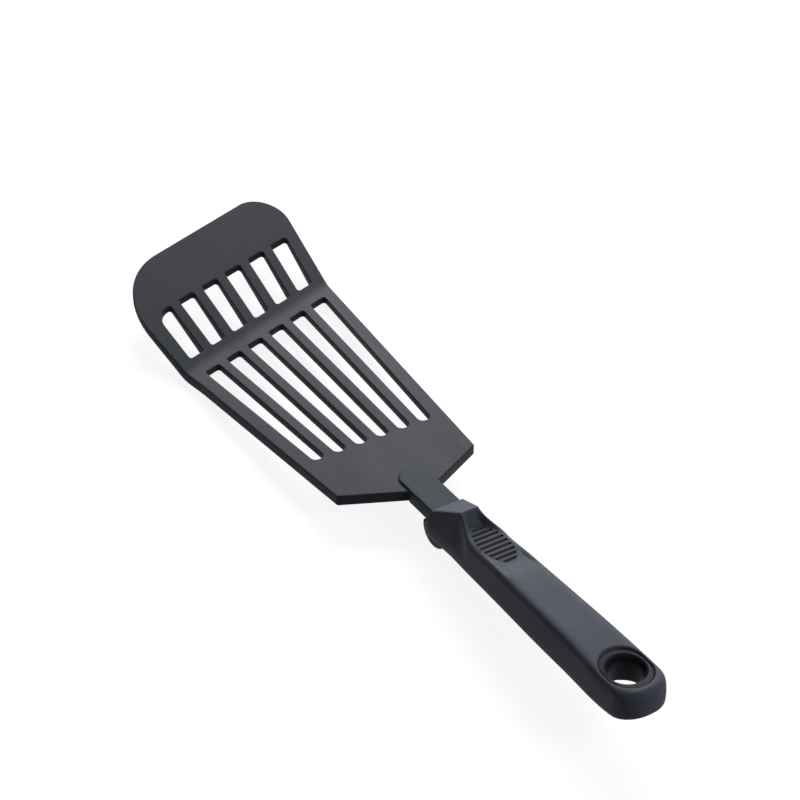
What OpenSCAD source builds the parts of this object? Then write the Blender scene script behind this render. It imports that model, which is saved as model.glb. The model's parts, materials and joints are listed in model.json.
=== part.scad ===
// Fish spatula: a slotted, bent nylon head on a flat stem, with a soft grip.
// Millimetres. The part lies on a worktop: the foot and the two ends of the
// head's bend touch z = 0, and the origin is the middle of the foot's flat.
// Every piece is drawn in the head's own frame, which has its zero at the
// middle of the head's rear corners, on its top face, and y towards the
// leading edge. lay_down() then tips that frame onto the worktop.

/* [Head] */
// Width of the head across its two rear corners
head_rear_w = 60.6; // [50:0.2:70]
// How far the right side leans outwards, in degrees
right_flare = 5.1; // [2:0.1:7]
// How far the left side leans outwards behind the bend, in degrees
left_flare = 5.5; // [2:0.1:7]
// How far the left side leans outwards in front of the bend, in degrees
left_front_flare = 9; // [4:0.5:12]
// Length of the head from its rear corners to the bend, on the centre line
rear_panel_l = 115.5; // [95:0.5:130]
// Length of the head from its rear corners to the leading edge, on the centre line
head_l = 172.5; // [160:0.5:190]
// Slant of the bend and the slot ends, in degrees
skew = 19.5; // [8:0.5:24]
// Slant of the leading edge, in degrees
lead_skew = 20.7; // [8:0.5:26]
// How far the front panel bends up, in degrees
bend_angle = 19; // [8:0.5:26]
// Radius of the bend on the top face
bend_r = 14; // [6:0.5:24]
// Thickness of the head at its rim and its bend
head_t = 4.4; // [3.6:0.1:5]
// Thickness of the ribs between the long slots
rib_t = 3; // [2.4:0.1:3.4]
// Width of the thick rim on each side of the ribs
rim_w = 3.4; // [2:0.1:4]
// Thickness of the head at the leading edge
edge_t = 1.2; // [0.8:0.1:2]
// How far the head runs back from its rear corners to the stem
shoulder_l = 11.5; // [7:0.5:16]
// Corner radius at the right end of the leading edge
right_corner_r = 13; // [8:0.5:18]
// Corner radius at the left end of the leading edge
left_corner_r = 35; // [14:0.5:36]
// Corner radius at the rear of the head
rear_corner_r = 1; // [0.8:0.1:4]

/* [Slots] */
// Number of slots in each of the two rows
slot_n = 6; // [4:1:7]
// Distance between slot centres at the rear tips of the long slots
slot_pitch_rear = 9.5; // [8:0.05:9.6]
// Distance between slot centres at the front ends of the long slots
slot_pitch_front = 12.3; // [11:0.05:12.5]
// Width of the ribs between the long slots
rib_w = 4.55; // [3.5:0.05:5.2]
// Width of the ribs between the short slots
short_rib_w = 5; // [4:0.1:6]
// Where the long slots start, from the rear corners
long_slot_start = 23.6; // [18:0.5:32]
// Solid band between the long slots' front ends and the bend
band_rear = 5.4; // [4:0.1:10]
// Solid band between the bend and the short slots' rear ends
band_front = 5.1; // [3:0.1:9]
// Length of the short slots, along the head's plan
short_slot_l = 26.2; // [18:0.2:30]
// How far the long slots stand to the left of the centre line
long_slot_shift = 0.1; // [0:0.1:1]
// How far the short slots stand to the left of the centre line
short_slot_shift = 1; // [0:0.1:2]
// Corner radius at the slots' square ends
slot_corner_r = 0.9; // [0.4:0.1:1.4]

/* [Stem] */
// Width of the stem
stem_w = 12.8; // [11:0.1:15]
// How far the stem's underside lies below the head's
stem_drop = 0.9; // [0:0.1:1.5]
// How far the stem's tongue stands above the head
tongue_rise = 0.8; // [0.5:0.1:1.6]
// How far the stem's round end reaches past the head's rear corners
tongue_reach = 0.6; // [-2:0.1:8]
// Width of the tang inside the core
tang_w = 8; // [6:0.1:9]
// Thickness of the tang inside the core
tang_t = 3.4; // [2.5:0.1:4]
// Length of the tang inside the core
tang_l = 62; // [50:1:72]
// Diameter of the two pins through the tang
pin_d = 3; // [2:0.1:3.6]

/* [Grip] */
// Gap between the head's rear corners and the front of the grip
grip_gap = 23.5; // [18:0.5:32]
// Length of the grip
grip_l = 123.8; // [112:0.2:140]
// Width of the grip at its crest
grip_front_w = 16.1; // [15.5:0.1:20]
// Width of the grip at the hanging hole
grip_rear_w = 20.2; // [18.8:0.1:24]
// Height of the crest above the head's top face
crest_z = 8.8; // [7:0.1:10]
// Height of the grip's top at the hanging hole, above the head's top face
rear_top_z = 5; // [4.6:0.1:6]
// Depth of the grip's underside below the head's top face, at the front
front_bottom_z = 11.3; // [10.4:0.1:12]
// Depth of the grip's underside below the head's top face, at the hanging hole
rear_bottom_z = 10.2; // [9.8:0.1:11.2]
// Width of the core inside the soft grip
core_w = 11; // [10:0.1:12]
// Depth of the core inside the soft grip
core_h = 8; // [7:0.1:8.2]

/* [Thumb pad] */
// Length of the ribbed pad
pad_l = 23.2; // [22:0.1:25]
// Width of the ribbed pad
pad_w = 12; // [10:0.1:12]
// Height of the pad's top above the head's top face
pad_z = 3.9; // [3:0.1:4]
// Number of grooves in the pad
groove_n = 9; // [5:1:10]
// Width of each groove
groove_w = 1.05; // [0.6:0.05:1.4]
// Depth of each groove
groove_d = 0.9; // [0.4:0.1:1.4]
// Distance between grooves
groove_pitch = 2.47; // [1.8:0.02:2.5]

/* [Foot] */
// Radius of the round foot
foot_r = 7.1; // [6.5:0.1:8]
// Width of the foot across the grip
foot_w = 13.4; // [10:0.1:14.4]
// How far the foot stands below the grip's underside
foot_drop = 3.1; // [2.6:0.1:5]

/* [Hanging hole] */
// Diameter of the hanging hole
hole_d = 12.4; // [10:0.1:13]
// Width of the eyelet
eyelet_w = 16.8; // [16:0.1:17]
// Length of the eyelet
eyelet_l = 19.6; // [18:0.1:21]
// Distance from the hole's centre to the end of the grip
hole_to_end = 14.5; // [14:0.1:16]
// How far the eyelet's face lies below the grip's top
eyelet_sink = 0.8; // [0.4:0.1:1.2]

/* [Hidden] */
$fn = 64;

// Clearance between pieces that fit into each other
fit = 0.1;
// Overshoot of a cut past the face that it opens
over = 1;
// Steps in a rounded corner, in the bend and round a grip section
corner_steps = 6;
bend_steps = 6;
section_points = 36;

// Colours as seen: a dark blue-grey nylon and a slightly darker soft grip
nylon = [0.30, 0.31, 0.34];
soft = [0.26, 0.27, 0.30];
dark = [0.16, 0.16, 0.18];
steel = [0.62, 0.63, 0.65];

// The head's plan
skew_run = tan(skew);
lead_run = tan(lead_skew);
right_run = tan(right_flare);
left_run = tan(left_flare);
left_front_run = tan(left_front_flare);
function side_run(side) = side > 0 ? right_run : left_run;
function side_x(y, side) = side * (head_rear_w / 2 + side_run(side) * y);
// Where a slanted line that crosses the centre line at y0 meets a side
function side_cross(y0, side, run) = let (x = side_x(y0, side)
        / (1 - side * side_run(side) * run)) [x, y0 + run * x];

function unit(v) = v / norm(v);
function turned(v, a) = [v.x * cos(a) - v.y * sin(a), v.x * sin(a) + v.y * cos(a)];
// One corner of an outline, rounded from its side towards a to its side towards b
function round_corner(a, p, b, r) =
    let (u = unit(a - p),
        v = unit(b - p),
        half = acos(u * v) / 2,
        centre = p + unit(u + v) * r / sin(half),
        start = p + u * r / tan(half) - centre,
        sweep = -sign(cross(u, v)) * (180 - 2 * half))
    [for (k = [0 : corner_steps]) centre + turned(start, sweep * k / corner_steps)];
// A whole outline from its corners, each given as [x, y, radius]
function rounded(c) = [for (i = [0 : len(c) - 1])
    let (p = c[i], a = c[(i + len(c) - 1) % len(c)], b = c[(i + 1) % len(c)])
    each p.z > 0 ? round_corner([a.x, a.y], [p.x, p.y], [b.x, b.y], p.z) : [[p.x, p.y]]];

bend_right = side_cross(rear_panel_l, 1, skew_run);
bend_left = side_cross(rear_panel_l, -1, skew_run);
lead_right = side_cross(head_l, 1, lead_run);
// The left side turns outwards a little behind the bend
turn_back = 10;
left_turn = [side_x(bend_left.y - turn_back, -1), bend_left.y - turn_back];
lead_left_x = (left_turn.x - left_front_run * (head_l - left_turn.y))
    / (1 + left_front_run * lead_run);
lead_left = [lead_left_x, head_l + lead_run * lead_left_x];
turn_r = 120;
stem_half = stem_w / 2;
head_outline = rounded([
    [stem_half, -shoulder_l, 0],
    [head_rear_w / 2, 0, rear_corner_r],
    [lead_right.x, lead_right.y, right_corner_r],
    [lead_left.x, lead_left.y, left_corner_r],
    [left_turn.x, left_turn.y, turn_r],
    [-head_rear_w / 2, 0, rear_corner_r],
    [-stem_half, -shoulder_l, 0]]);

// The slots fan out: their centres lie on lines, closer together at the rear
slot_front_mid = rear_panel_l - band_rear;
pitch_run = (slot_pitch_front - slot_pitch_rear) / (slot_front_mid - long_slot_start);
pitch_zero = slot_pitch_rear - pitch_run * long_slot_start;
// Slots count from 0 at the left; side is -1 for a slot's left side and 1 for its right
function slot_side(i, side) = i - (slot_n - 1) / 2 + side / 2;
// The point where a slot's side meets a line across the head that crosses the
// centre line at y0 and climbs by run. The row stands to the left by shift.
function slot_end(i, side, y0, run, rib, shift) =
    let (k = slot_side(i, side),
        at_zero = k * pitch_zero - side * rib / 2 - shift,
        y = (y0 + run * at_zero) / (1 - run * k * pitch_run))
    [at_zero + k * pitch_run * y, y];
tip_r = (slot_pitch_rear - rib_w) * 0.46;
function long_slot(i) =
    let (rl = slot_end(i, -1, long_slot_start, 0, rib_w, long_slot_shift),
        rr = slot_end(i, 1, long_slot_start, 0, rib_w, long_slot_shift),
        l = slot_end(i, -1, slot_front_mid, skew_run, rib_w, long_slot_shift),
        r = slot_end(i, 1, slot_front_mid, skew_run, rib_w, long_slot_shift))
    rounded([
        [rl.x, rl.y, tip_r],
        [rr.x, rr.y, tip_r],
        [r.x, r.y, slot_corner_r],
        [l.x, l.y, slot_corner_r]]);
short_rear = rear_panel_l + band_front;
short_front = short_rear + short_slot_l;
// The outer left short slot follows the head's big corner: its corner's radius is this
// share of the slot's width
outer_share = 1.15;
function short_slot(i) =
    let (rl = slot_end(i, -1, short_rear, skew_run, short_rib_w, short_slot_shift),
        rr = slot_end(i, 1, short_rear, skew_run, short_rib_w, short_slot_shift),
        fl = slot_end(i, -1, short_front, skew_run, short_rib_w, short_slot_shift),
        fr = slot_end(i, 1, short_front, skew_run, short_rib_w, short_slot_shift))
    rounded([
        [rl.x, rl.y, slot_corner_r],
        [rr.x, rr.y, slot_corner_r],
        [fr.x, fr.y, slot_corner_r],
        [fl.x, fl.y, i == 0 ? outer_share * (fr.x - fl.x) : slot_corner_r]]);

// The head's side profile, square to the bend: u runs forward from the bend
bend_tangent = bend_r * tan(bend_angle / 2);
bend_top = [for (k = [0 : bend_steps]) let (a = bend_angle * k / bend_steps)
    [-bend_tangent + bend_r * sin(a), bend_r * (1 - cos(a))]];
bend_low_r = bend_r + head_t;
bend_low = [for (k = [0 : bend_steps]) let (a = bend_angle * k / bend_steps)
    [-bend_tangent + bend_low_r * sin(a), bend_r - bend_low_r * cos(a)]];
panel_dir = [cos(bend_angle), sin(bend_angle)];
panel_up = [-sin(bend_angle), cos(bend_angle)];
panel_l = (head_l - rear_panel_l) * cos(skew) / cos(bend_angle);
panel_over = panel_dir * 12;
profile_back = -(rear_panel_l + shoulder_l + head_rear_w);
head_profile = concat(
    [[profile_back, 0]],
    bend_top,
    [panel_dir * panel_l + panel_over,
     panel_dir * panel_l + panel_over - panel_up * edge_t,
     panel_dir * panel_l - panel_up * edge_t],
    [for (k = [bend_steps : -1 : 0]) bend_low[k]],
    [[profile_back, -head_t]]);

// The grip's sections: each half-size is a smooth function of the way back, t
grip_front_y = -grip_gap;
grip_end_y = grip_front_y - grip_l;
hole_y = grip_end_y + hole_to_end;
facet_l = 17.7;
crest_y = grip_front_y - facet_l;
nose_top_z = tongue_rise - 0.8;
function smooth(t) = let (c = min(max(t, 0), 1)) c * c * (3 - 2 * c);
function mix(a, b, t) = a + (b - a) * t;
function along(y) = (crest_y - y) / (crest_y - hole_y);
// Towards the hanging hole the grip gets a little lower and wider
tail_l = 24;
tail_drop = 0.8;
tail_flare = 0.5;
function tail(y) = smooth((hole_y + tail_l - y) / tail_l);
mid_top_z = rear_top_z + tail_drop - 1.35;
// Behind the crest the top falls into a dip for the thumb, then rises a little again
dip_z = mid_top_z - 0.5;
dip_l = 15.5;
dip_end = 14;
dip_rise_l = 14;
function behind_z(y) = mix(
    mix(crest_z, dip_z, 1 - pow(max(0, 1 - (crest_y - y) / dip_l), 2)),
    mix(mid_top_z, rear_top_z + tail_drop, smooth(along(y))) - tail_drop * tail(y),
    smooth((crest_y - y - dip_end) / dip_rise_l));
function top_z(y) = y > crest_y
    ? mix(nose_top_z, crest_z, (grip_front_y - y) / facet_l)
    : behind_z(y);
// The underside keeps its depth over the first share of the way back
belly = 0.5;
function bottom_z(y) = -mix(front_bottom_z, rear_bottom_z, smooth((along(y) - belly) / (1 - belly)));
nose_l = 3;
nose_in = 0.6;
function half_w(y) = mix(grip_front_w, grip_rear_w - 2 * tail_flare, smooth(along(y))) / 2
    - nose_in * (1 - smooth((grip_front_y - y) / nose_l)) + tail_flare * tail(y);
// The crest is narrow on top: towards it the sides lean in, and behind it they straighten up
crest_lean = 0.46;
lean_l = 12.5;
function lean(y) = crest_lean * min(1, (grip_front_y - y) / facet_l)
    * (1 - smooth((crest_y - y) / lean_l));
// Squareness of a section: 2 is an ellipse, more is squarer. Above mid height the
// sections are nearly sharp as far as the crest.
crest_squareness = 12;
top_squareness = 7;
low_squareness = 5.3;
end_squareness = 2.8;
end_round_l = 11;
function squareness(y, upper) =
    let (above = mix(crest_squareness, top_squareness, smooth((crest_y + 1 - y) / 14)))
    mix(upper ? above : low_squareness, end_squareness,
        smooth((grip_end_y + end_round_l - y) / end_round_l));
function power(c, e) = sign(c) * pow(abs(c), e);
// The round end closes sideways over its last stretch
end_l = 8.8;
end_power = 2.1;
function end_scale(y) = let (q = max(0, (grip_end_y + end_l - y) / end_l))
    pow(max(0, 1 - pow(q, end_power)), 1 / end_power);
// and in height over a longer stretch below than above: up is 1 at a section's top and -1
// at its underside
end_top_l = 3.6;
end_low_l = 26;
end_height = 0.06;
function end_rise(y, up) =
    let (run = mix(end_low_l, end_top_l, (1 + up) / 2),
        q = max(0, (grip_end_y + run - y) / run))
    mix(end_height, 1, sqrt(max(0, 1 - q * q)));

// The thumb scoop drops steeply behind the crest and runs out to the rear
scoop_front_l = 4.4;
pad_y = crest_y - scoop_front_l - pad_l / 2;
scoop_half = pad_w / 2 + 0.4;
scoop_wall = 1.6;
scoop_rim = 1.7;
scoop_fade_l = 11;
scoop_rear_y = pad_y - pad_l / 2;
function scoop_side(y) = min(scoop_half, half_w(y) * 0.93 * (1 - lean(y)) - scoop_rim);
function scoop(x, y) = smooth((crest_y - 0.2 - y) / scoop_front_l)
    * (1 - smooth((scoop_rear_y + scoop_fade_l / 2 - y) / scoop_fade_l))
    * (1 - smooth((abs(x) - scoop_side(y) + 0.6) / scoop_wall));

function section_point(y, a) =
    let (top = top_z(y), low = bottom_z(y),
        mid = (top + low) / 2, half_h = (top - low) / 2,
        e = 2 / squareness(y, sin(a) > 0), cx = power(cos(a), e), cz = power(sin(a), e),
        x = half_w(y) * end_scale(y) * cx * (1 - lean(y) * smooth((cz + 0.4) / 1.4)),
        z = mid + half_h * end_rise(y, cz) * cz,
        sunk = cz > 0 ? mix(z, min(z, pad_z), scoop(x, y)) : z)
    [x, y, sunk];
front_rings = [for (k = [0 : 24]) grip_front_y - k * facet_l / 9];
mid_y = front_rings[len(front_rings) - 1];
mid_count = 14;
end_y = grip_end_y + end_l;
mid_rings = [for (k = [1 : mid_count]) mix(mid_y, end_y, k / mid_count)];
end_rings = [for (a = [15, 30, 42, 54, 64, 73, 80, 85.5, 89]) end_y - end_l * sin(a)];
ring_y = concat(front_rings, mid_rings, end_rings);

// A closed solid through rings of points, with flat ends
module through_rings(rings) {
    n = len(rings[0]);
    last = len(rings) - 1;
    sides = [for (i = [0 : last - 1]) for (j = [0 : n - 1])
        let (k = (j + 1) % n)
        each [[i * n + j, (i + 1) * n + j, (i + 1) * n + k],
              [i * n + j, (i + 1) * n + k, i * n + k]]];
    front = [for (j = [1 : n - 2]) [0, j, j + 1]];
    back = [for (j = [1 : n - 2]) [last * n, last * n + j + 1, last * n + j]];
    polyhedron([for (r = rings) each r], concat(sides, front, back));
}

// How the head's frame tips onto the worktop: the plane through the foot and
// the two lower ends of the bend becomes level
foot_y = grip_front_y - foot_r + 2.6;
foot_z = -front_bottom_z - foot_drop;
// The lowest line of the bend, where its round underside is level with the worktop
rest_slope = atan((-head_t - foot_z) / (rear_panel_l - foot_y));
rest_y = (bend_low_r * sin(rest_slope) - bend_tangent) / cos(skew);
rest_z = bend_r - bend_low_r * cos(rest_slope);
rest_right = side_cross(rear_panel_l + rest_y, 1, skew_run);
rest_left = side_cross(rear_panel_l + rest_y, -1, skew_run);
to_right = [rest_right.x, rest_right.y - foot_y, rest_z - foot_z];
to_left = [rest_left.x, rest_left.y - foot_y, rest_z - foot_z];
level = unit(cross(to_right, to_left));
tip = atan2(level.y, level.z);
roll = -atan2(level.x, norm([level.y, level.z]));
module lay_down() {
    rotate([0, roll, 0]) rotate([tip, 0, 0]) translate([0, -foot_y, -foot_z]) children();
}

module blade_body() {
    intersection() {
        translate([0, 0, -head_t - over])
            linear_extrude(head_t + panel_l + 2 * over) polygon(head_outline);
        translate([0, rear_panel_l, 0]) rotate([0, 0, skew])
            rotate([90, 0, -90]) translate([0, 0, -head_rear_w * 2])
            linear_extrude(head_rear_w * 4) mirror([1, 0]) polygon(head_profile);
    }
}

// The ribs are thinner than the rim: their underside is cut back
recess_start = 13;
recess_front = rear_panel_l - 3;
recess_r = 3;
function recess_side(side, p) = [p.x - side * rim_w, p.y - side * rim_w * skew_run, recess_r];
recess_outline = rounded([
    [side_x(recess_start, -1) + rim_w, recess_start, recess_r],
    [side_x(recess_start, 1) - rim_w, recess_start, recess_r],
    recess_side(1, side_cross(recess_front, 1, skew_run)),
    recess_side(-1, side_cross(recess_front, -1, skew_run))]);
module rib_recess() {
    translate([0, 0, -head_t - over]) linear_extrude(head_t - rib_t + over)
        polygon(recess_outline);
}

module slot_cut(outline) {
    translate([0, 0, -head_t - over]) linear_extrude(head_t + panel_l) polygon(outline);
}

module blade() {
    color(nylon) lay_down() difference() {
        blade_body();
        rib_recess();
        for (i = [0 : slot_n - 1]) {
            slot_cut(long_slot(i));
            slot_cut(short_slot(i));
        }
    }
}

stem_bottom = -head_t - stem_drop;
module stem_plan(half, y_front, y_back) {
    translate([-half, y_back]) square([2 * half, y_front - y_back]);
}

tongue_y = tongue_reach - stem_half;
tang_top = -0.2;
tang_front_y = crest_y;
tang_back_y = tang_front_y - tang_l;
core_front_y = tang_front_y;
pin_ys = [tang_front_y - tang_l * 0.2, tang_front_y - tang_l * 0.8];
pin_z = tang_top - tang_t / 2;
module pin_bore(d) {
    for (y = pin_ys) translate([0, y, pin_z]) rotate([0, 90, 0])
        cylinder(h = core_w * 2, d = d, center = true);
}

module stem() {
    color(nylon) lay_down() difference() {
        union() {
            linear_extrude(tongue_rise) union() {
                stem_plan(stem_half, tongue_y, -shoulder_l - over);
                translate([0, tongue_y]) circle(stem_half);
            }
            translate([0, 0, stem_bottom]) linear_extrude(tongue_rise - stem_bottom)
                stem_plan(stem_half, -shoulder_l, tang_front_y);
            translate([0, 0, tang_top - tang_t]) linear_extrude(tang_t)
                stem_plan(tang_w / 2, tang_front_y, tang_back_y);
        }
        pin_bore(pin_d);
    }
}

core_top = pad_z - 3;
core_back_y = hole_y + eyelet_l / 2 + 2.5;
module core_block(gap) {
    translate([-core_w / 2 - gap, core_back_y - gap, core_top - core_h - gap])
        cube([core_w + 2 * gap, core_front_y - core_back_y + 2 * gap, core_h + 2 * gap]);
}

module grip_core() {
    color(dark) lay_down() difference() {
        core_block(0);
        translate([-tang_w / 2 - fit, tang_back_y - fit, tang_top - tang_t - fit])
            cube([tang_w + 2 * fit, tang_l + over, tang_t + 2 * fit]);
        pin_bore(pin_d);
    }
}

module tang_pins() {
    color(steel) lay_down() for (y = pin_ys) translate([0, y, pin_z])
        rotate([0, 90, 0]) cylinder(h = core_w, d = pin_d, center = true);
}

pad_t = pad_z - core_top;
function ellipse(half_x, half_y, n) = [for (k = [0 : n - 1])
    [half_x * cos(360 * k / n), half_y * sin(360 * k / n)]];
module pad_block(gap) {
    translate([0, pad_y, core_top]) linear_extrude(pad_t + (gap > 0 ? crest_z : 0))
        polygon(ellipse(pad_w / 2 + gap, pad_l / 2 + gap, 48));
}

// The grooves' ends follow an egg, whose widest place is a little behind the middle
groove_margin = 0.4;
egg_back = 0.75;
egg_half_l = pad_l / 2 + 0.36;
function groove_half(y) = (pad_w / 2 - groove_margin)
    * sqrt(max(0, 1 - pow((y + egg_back) / egg_half_l, 2)));
module thumb_pad() {
    color(soft) lay_down() difference() {
        pad_block(0);
        for (k = [0 : groove_n - 1]) {
            y = (k - (groove_n - 1) / 2) * groove_pitch;
            half = groove_half(y);
            translate([-half, pad_y + y - groove_w / 2, pad_z - groove_d])
                cube([2 * half, groove_w, groove_d + over]);
        }
    }
}

// The foot is a short round bar, cut off below the stem. It would reach below
// the worktop by flat_depth, and is cut flat there.
foot_top_z = stem_bottom - 1.2;
flat_depth = 0.25;
module foot_disc(gap) {
    intersection() {
        translate([0, foot_y, foot_z + foot_r - flat_depth]) rotate([0, 90, 0])
            cylinder(h = foot_w + 2 * gap, r = foot_r + gap, center = true);
        translate([-foot_w, foot_y - foot_r * 2, foot_z - foot_r])
            cube([foot_w * 2, foot_r * 4, foot_top_z + gap - foot_z + foot_r]);
    }
}
module rest_foot() {
    color(soft) difference() {
        lay_down() foot_disc(0);
        translate([-foot_r * 2, -foot_r * 2, -foot_r * 4])
            cube([foot_r * 4, foot_r * 4, foot_r * 4]);
    }
}

eyelet_top = rear_top_z - eyelet_sink;
eyelet_recess = 3.6;
eyelet_low = -rear_bottom_z + eyelet_recess;
eyelet_straight = eyelet_l - eyelet_w;
module eyelet_plan(gap) {
    for (s = [-1, 1]) translate([0, s * eyelet_straight / 2]) circle(eyelet_w / 2 + gap);
    square([eyelet_w + 2 * gap, eyelet_straight], center = true);
}
module eyelet_block(gap, low, high) {
    translate([0, hole_y, low]) linear_extrude(high - low) eyelet_plan(gap);
}

mouth_d = hole_d + 2.6;
mouth_h = 3;
module hanging_eyelet() {
    color(dark) lay_down() difference() {
        eyelet_block(0, eyelet_low, eyelet_top);
        translate([0, hole_y, eyelet_low - over])
            cylinder(h = eyelet_top - eyelet_low + 2 * over, d = hole_d);
        translate([0, hole_y, eyelet_top - mouth_h])
            cylinder(h = mouth_h + 0.01, d1 = hole_d, d2 = mouth_d);
    }
}

// The sleeve's front leans back above the middle of the stem
front_lean = 0.5;
module front_cut() {
    low = (stem_bottom + tongue_rise) / 2 - 3;
    high = crest_z;
    translate([-grip_rear_w, grip_front_y, 0]) rotate([90, 0, 90]) linear_extrude(grip_rear_w * 2)
        polygon([[0, low], [over, low], [over, high], [-(high - low) * front_lean, high]]);
}

module grip_sleeve() {
    color(soft) lay_down() difference() {
        through_rings([for (y = ring_y) [for (j = [0 : section_points - 1])
            section_point(y, 360 * j / section_points)]]);
        translate([0, 0, stem_bottom - fit])
            linear_extrude(tongue_rise - stem_bottom + 2 * fit)
            stem_plan(stem_half + fit, grip_front_y + over, tang_front_y - fit);
        core_block(fit);
        pad_block(fit);
        foot_disc(fit);
        eyelet_block(fit, -rear_bottom_z * 2, crest_z * 2);
        front_cut();
    }
}

blade();
stem();
grip_sleeve();
grip_core();
thumb_pad();
rest_foot();
hanging_eyelet();
tang_pins();
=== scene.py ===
# A slotted fish turner: nylon head and stem, soft grip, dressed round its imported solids.
# Every shape is worked out in the head's own frame, in millimetres: zero is the middle of the
# head's rear corners on its top face, y runs to the leading edge, z is square to the head.
import json
import math

import bmesh
import bpy
import numpy as np
from mathutils import Matrix, Vector
from mathutils.geometry import delaunay_2d_cdt


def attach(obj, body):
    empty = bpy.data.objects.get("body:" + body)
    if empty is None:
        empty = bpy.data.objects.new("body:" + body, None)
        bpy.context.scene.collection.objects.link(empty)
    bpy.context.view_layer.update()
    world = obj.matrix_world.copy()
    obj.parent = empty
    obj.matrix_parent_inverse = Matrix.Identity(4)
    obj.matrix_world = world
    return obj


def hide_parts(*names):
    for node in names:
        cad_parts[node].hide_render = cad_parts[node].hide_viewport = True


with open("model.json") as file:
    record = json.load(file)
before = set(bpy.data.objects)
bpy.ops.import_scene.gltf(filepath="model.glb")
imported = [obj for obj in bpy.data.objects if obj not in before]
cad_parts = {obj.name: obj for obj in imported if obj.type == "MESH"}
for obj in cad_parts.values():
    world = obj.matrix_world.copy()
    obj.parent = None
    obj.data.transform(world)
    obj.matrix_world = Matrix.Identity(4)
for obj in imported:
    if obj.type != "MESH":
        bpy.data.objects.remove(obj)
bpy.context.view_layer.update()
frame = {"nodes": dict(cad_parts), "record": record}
print("frame loaded:", ", ".join(sorted(frame["nodes"])))

gripSize = {
    "frontY": -23.5, "length": 123.8, "facetLength": 17.7,
    "crestHeight": 8.8, "noseHeight": 0.0, "crestSharpness": 3.5,
    "dipHeight": 3.95, "dipLength": 15.5, "dipEnd": 14.0, "dipRise": 14.0,
    "middleHeight": 4.45, "rearHeight": 5.8,
    "frontDepth": 11.3, "rearDepth": 10.2, "belly": 0.5, "frontWidth": 16.1, "rearWidth": 19.2,
    "crestLean": 0.46, "leanLength": 12.5,
    "noseTilt": 0.5, "noseTiltLow": -5.25, "noseTiltLength": 9.0,
    "noseLength": 3.0, "noseIn": 0.6, "noseRound": 1.0,
    "crestSquareness": 12.0, "topSquareness": 7.0, "lowSquareness": 5.3,
    "squareLead": 1.0, "squareFade": 14.0, "leanFrom": 0.4,
    "tailLength": 24.0, "tailDrop": 0.8, "tailFlare": 0.5,
    "endLength": 8.8, "endPower": 2.1, "endSquareness": 2.8, "endRounding": 11.0,
    "endTop": 3.6, "endLow": 26.0, "endHeight": 0.06,
    "scoopDrop": 4.4, "scoopWall": 1.6, "scoopLead": 1.5, "scoopFade": 11.0, "scoopMargin": 0.4,
    "scoopRim": 1.7, "scoopStart": 0.2, "scoopInset": 0.6, "flatShare": 0.93,
    "wellEdge": 0.97, "wellSlope": 0.09,
    "holeToEnd": 14.5, "lipRound": 0.75, "lipShelf": 0.35, "lipMargin": 0.8, "lipClear": 1.15,
    "around": 240, "fineStep": 0.45, "coarseStep": 0.9, "rearStep": 0.6, "endRows": 22,
    "joinGap": 4.0, "unroll": 10.0,
}
eyeletSize = {
    "width": 16.8, "length": 19.6, "holeRadius": 6.2, "sink": 0.8, "recess": 3.6,
    "mouth": 1.3, "mouthDepth": 3.0, "edgeRound": 0.35, "lowRound": 0.5, "lowEdge": 0.3,
    "gap": 0.05, "around": 192,
}

# the grip's main stations along y, and the eyelet's two faces
crestY = gripSize["frontY"] - gripSize["facetLength"]
gripEndY = gripSize["frontY"] - gripSize["length"]
holeY = gripEndY + gripSize["holeToEnd"]
eyeletTop = gripSize["rearHeight"] - gripSize["tailDrop"] - eyeletSize["sink"]
eyeletLow = -gripSize["rearDepth"] + eyeletSize["recess"]

# the head's frame lies tipped on the worktop: the record's hanging hole says how, and where
hole = next(m for m in frame["record"]["mounts"] if m["name"] == "hanging_hole")
tip = Matrix.Rotation(-math.asin(hole["axis"][1]), 3, "X")
roll = Matrix.Rotation(math.atan2(hole["axis"][0], hole["axis"][2]), 3, "Y")
headTurn = np.array(roll @ tip)
holeMiddle = np.array([0, holeY, (eyeletLow + eyeletTop - eyeletSize["mouthDepth"]) / 2])
headOrigin = np.array(hole["pos_m"]) - headTurn @ holeMiddle / 1000


# from the head's frame in millimetres to the shared frame in metres
def toWorktop(points):
    return np.asarray(points, float) @ headTurn.T / 1000 + headOrigin


# 0 below 0, 1 above 1, and 3t^2 - 2t^3 between
def smooth(t):
    t = np.clip(t, 0, 1)
    return t * t * (3 - 2 * t)


# a at t = 0, b at t = 1, and in a straight line between
def mix(a, b, t):
    return a + (b - a) * t


# shared by all plastics: the part of the noise's range that is spread out, how much coarser the
# flecks are than the grain, and the depths of grain and waves in metres
plasticWork = {
    "noiseLow": 0.3, "noiseHigh": 0.7, "fleckShare": 0.6, "grainDepth": 0.00006,
    "waveDepth": 0.0004,
}


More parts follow.
